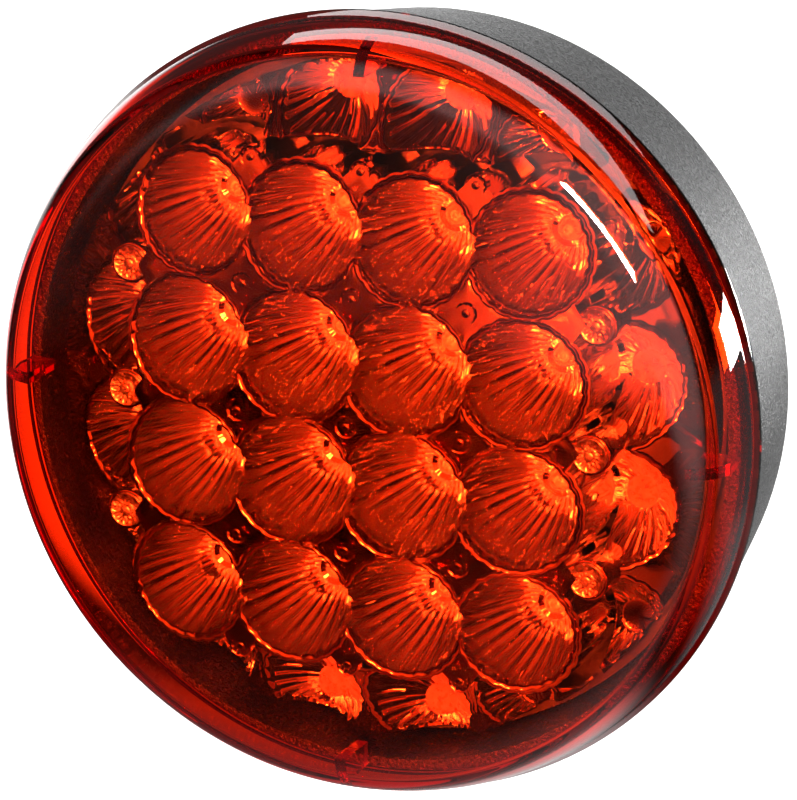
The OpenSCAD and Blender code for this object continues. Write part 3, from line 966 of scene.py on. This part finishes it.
def vector_math(tree, operation, first, second=None):
    made = tree.nodes.new("ShaderNodeVectorMath")
    made.operation = operation
    tree.links.new(first, made.inputs[0])
    if second is not None:
        made.inputs[1].default_value = second
    return made.outputs["Vector" if operation == "NORMALIZE" else "Value"]


def faded(tree, parts, fades, product=None):
    """The product of several fades over a direction's parts, and of product if it is given."""
    for axis, *fade in fades:
        share = ramp_between(tree, parts.outputs[axis], *fade)
        product = share if product is None else combine(tree, "MULTIPLY", product, share)
    return product


def studio_glow(tree, direction):
    """How bright the studio is in a direction from the lamp: in front of it, and low behind it."""
    parts = tree.nodes.new("ShaderNodeSeparateXYZ")
    tree.links.new(direction, parts.inputs["Vector"])
    behind = faded(tree, parts, BEHIND_FADES)
    below = faded(tree, parts, BELOW_FADES)
    toward = vector_math(tree, "DOT_PRODUCT", direction, compass(*DARK_CORNER))
    lit = ramp_between(tree, toward, *DARK_CORNER_FADE, FRONT_LIGHT, FRONT_DARK)
    front = faded(tree, parts, FRONT_FADES, lit)
    return combine(tree, "MAXIMUM", combine(tree, "MAXIMUM", behind, below), front)


def compass(azimuth, elevation):
    """A direction from the lamp, in degrees. azimuth is 0 in front of the lens and grows to the right."""
    a, e = math.radians(azimuth), math.radians(elevation)
    return Vector((math.sin(a) * math.cos(e), -math.cos(a) * math.cos(e), math.sin(e)))


def mix_for_camera(tree, unseen, seen, output):
    """Shows the camera one shader, and everything else the other."""
    ray = tree.nodes.new("ShaderNodeLightPath")
    mix = tree.nodes.new("ShaderNodeMixShader")
    tree.links.new(ray.outputs["Is Camera Ray"], mix.inputs["Fac"])
    tree.links.new(unseen, mix.inputs[1])
    tree.links.new(seen, mix.inputs[2])
    tree.links.new(mix.outputs["Shader"], output.inputs["Surface"])


def make_floor():
    """A plain pale floor, which is white to the camera and has the studio's glow for everything else."""
    bpy.ops.mesh.primitive_plane_add(size=FLOOR_SIZE, location=(0, 0, FLOOR_Z))
    floor = bpy.context.object
    floor.name = "floor"
    paint = Paint("floor_finish", Roughness=0.9, Emission_Strength=1.0)
    paint.shader.inputs["Emission Color"].default_value = (1, 1, 1, 1)
    paint.colour(paint.noise(400, 2), grey(0.86), grey(0.90))
    position = paint.node("ShaderNodeNewGeometry").outputs["Position"]
    direction = vector_math(paint.tree, "NORMALIZE", position)
    away = vector_math(paint.tree, "DISTANCE", position, DARK_PATCH)
    shade = ramp_between(paint.tree, away, *DARK_PATCH_FADE, DARK_PATCH_SHARE, 1.0)
    glow = paint.node("ShaderNodeEmission")
    around = studio_glow(paint.tree, direction)
    paint.link(combine(paint.tree, "MULTIPLY", around, shade), glow.inputs["Strength"])
    mix_for_camera(paint.tree, glow.outputs["Emission"], paint.shader.outputs["BSDF"], paint.output)
    floor.data.materials.append(paint.material)


def make_world():
    """White to the camera, and the studio's glow for reflections."""
    world = bpy.data.worlds.new("studio")
    bpy.context.scene.world = world
    world.use_nodes = True
    tree = world.node_tree
    tree.nodes.clear()
    output = tree.nodes.new("ShaderNodeOutputWorld")
    plain = tree.nodes.new("ShaderNodeBackground")
    around = tree.nodes.new("ShaderNodeBackground")
    plain.inputs["Strength"].default_value = BACKDROP_WHITE
    plain.inputs["Color"].default_value = (1, 1, 1, 1)
    around.inputs["Color"].default_value = (1, 1, 1, 1)
    direction = tree.nodes.new("ShaderNodeTexCoord").outputs["Generated"]
    tree.links.new(studio_glow(tree, direction), around.inputs["Strength"])
    mix_for_camera(tree, around.outputs["Background"], plain.outputs["Background"], output)


def softbox(name, azimuth, elevation, distance, width, height, strength, turn=0):
    """An area light that faces the lamp. strength is how bright it looks, and turn is in degrees."""
    data = bpy.data.lights.new(name, "AREA")
    data.shape = "RECTANGLE"
    data.size = width
    data.size_y = height
    data.energy = strength * width * height * math.pi
    lamp = bpy.data.objects.new(name, data)
    bpy.context.scene.collection.objects.link(lamp)
    lamp.location = compass(azimuth, elevation) * distance
    facing = lamp.location.to_track_quat("Z", "Y").to_matrix()
    lamp.rotation_euler = (facing @ Matrix.Rotation(math.radians(turn), 3, "Z")).to_euler()
    lamp.visible_camera = False


def make_camera():
    data = bpy.data.cameras.new("camera")
    data.lens = CAMERA["lens"]
    data.sensor_width = 36
    data.clip_end = 200
    camera = bpy.data.objects.new("camera", data)
    bpy.context.scene.collection.objects.link(camera)
    back = compass(CAMERA["azimuth"], CAMERA["elevation"])
    place = Matrix.Translation(CAMERA_TARGET + back * CAMERA["distance"])
    facing = back.to_track_quat("Z", "Y").to_matrix().to_4x4()
    camera.matrix_world = place @ facing @ Matrix.Rotation(math.radians(CAMERA["roll"]), 4, "Z")
    bpy.context.scene.camera = camera


make_floor()
make_world()
# The first makes the grey arc on the lens's upper edge, the second the sheen on the housing's right
# side and the streak on the lens's edge, and the third the lens's streak and the bowls' flares.
softbox("top_softbox", 166, 58, 1.4, 2.6, 0.36, 4.4)
softbox("back_right_softbox", 138, 5, 1.3, 0.60, 0.20, 60.0)
softbox("key", 3, 5, 1.5, 0.28, 0.11, 1000.0, -45)
make_camera()

scene = bpy.context.scene
scene.view_settings.view_transform = "Standard"
scene.cycles.max_bounces = 24
scene.cycles.transmission_bounces = 16
scene.cycles.glossy_bounces = 8
scene.cycles.transparent_max_bounces = 16
scene.cycles.sample_clamp_indirect = 40
